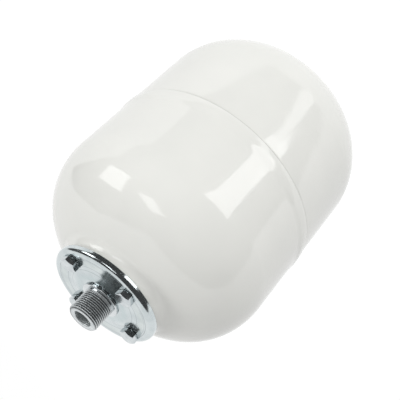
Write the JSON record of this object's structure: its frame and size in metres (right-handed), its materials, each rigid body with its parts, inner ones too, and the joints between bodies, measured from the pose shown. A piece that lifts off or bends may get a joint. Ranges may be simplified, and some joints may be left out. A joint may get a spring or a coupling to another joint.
{
  "type": "expansion tank",
  "caption": "Hanging membrane expansion tank with a bolted flange, a threaded water nipple and a rear air valve.",
  "frame": {"origin": "on the tank's axis, on the water nipple's collar, where the threaded wall begins", "axes": "+Z along the tank's axis and out through the water nipple; +X towards the first flange bolt"},
  "size_m": [0.2018, 0.2018, 0.3204],
  "materials": {
    "tank_paint": "gloss",
    "zinc_plated_sheet": "bright zinc",
    "zinc_plated_nipple": "bright zinc",
    "zinc_plated_bolts": "zinc",
    "plain_steel": "plain",
    "bladder_rubber": "matt",
    "seal_rubber": "matt",
    "valve_brass": "turned",
    "spring_steel": "plain",
    "cap_plastic": "satin"
  },
  "bodies": {
    "tank": {"front_shell": "tank_paint", "rear_shell": "tank_paint", "counter_flange": "zinc_plated_sheet", "water_nipple": "zinc_plated_nipple", "bladder": "bladder_rubber", "flange_bolt_1": "zinc_plated_bolts", "flange_bolt_2": "zinc_plated_bolts", "flange_bolt_3": "zinc_plated_bolts", "flange_bolt_4": "zinc_plated_bolts", "weld_nut_1": "plain_steel", "weld_nut_2": "plain_steel", "weld_nut_3": "plain_steel", "weld_nut_4": "plain_steel", "valve_stem": "valve_brass", "valve_gasket": "seal_rubber", "valve_washer": "zinc_plated_nipple", "valve_nut": "valve_brass", "valve_core": "valve_brass", "core_seal": "seal_rubber", "core_spring": "spring_steel"},
    "core_pin": {"core_pin": "valve_brass", "pin_seal": "seal_rubber"},
    "cap_seal": {"cap_seal": "seal_rubber"},
    "cap": {"valve_cap": "cap_plastic"}
  },
  "joints": [
    {"name": "cap_lift", "type": "slide", "parent": "tank", "child": "cap_seal", "axis": [0, 0, -1], "range_m": [0, 0.0079]},
    {"name": "cap_turn", "type": "hinge", "parent": "cap_seal", "child": "cap", "pos_m": [0, 0, -0.29787], "axis": [0, 0, -1], "range_deg": [0, 3600]},
    {"name": "core_press", "type": "slide", "parent": "tank", "child": "core_pin", "axis": [0, 0, 1], "range_m": [0, 0.0012], "stiffness_N_per_m": 400, "deforming": ["core_spring"]}
  ],
  "couplings": [
    {"joint": "cap_turn", "follows": "cap_lift", "rad_per_m": 7913.3}
  ]
}
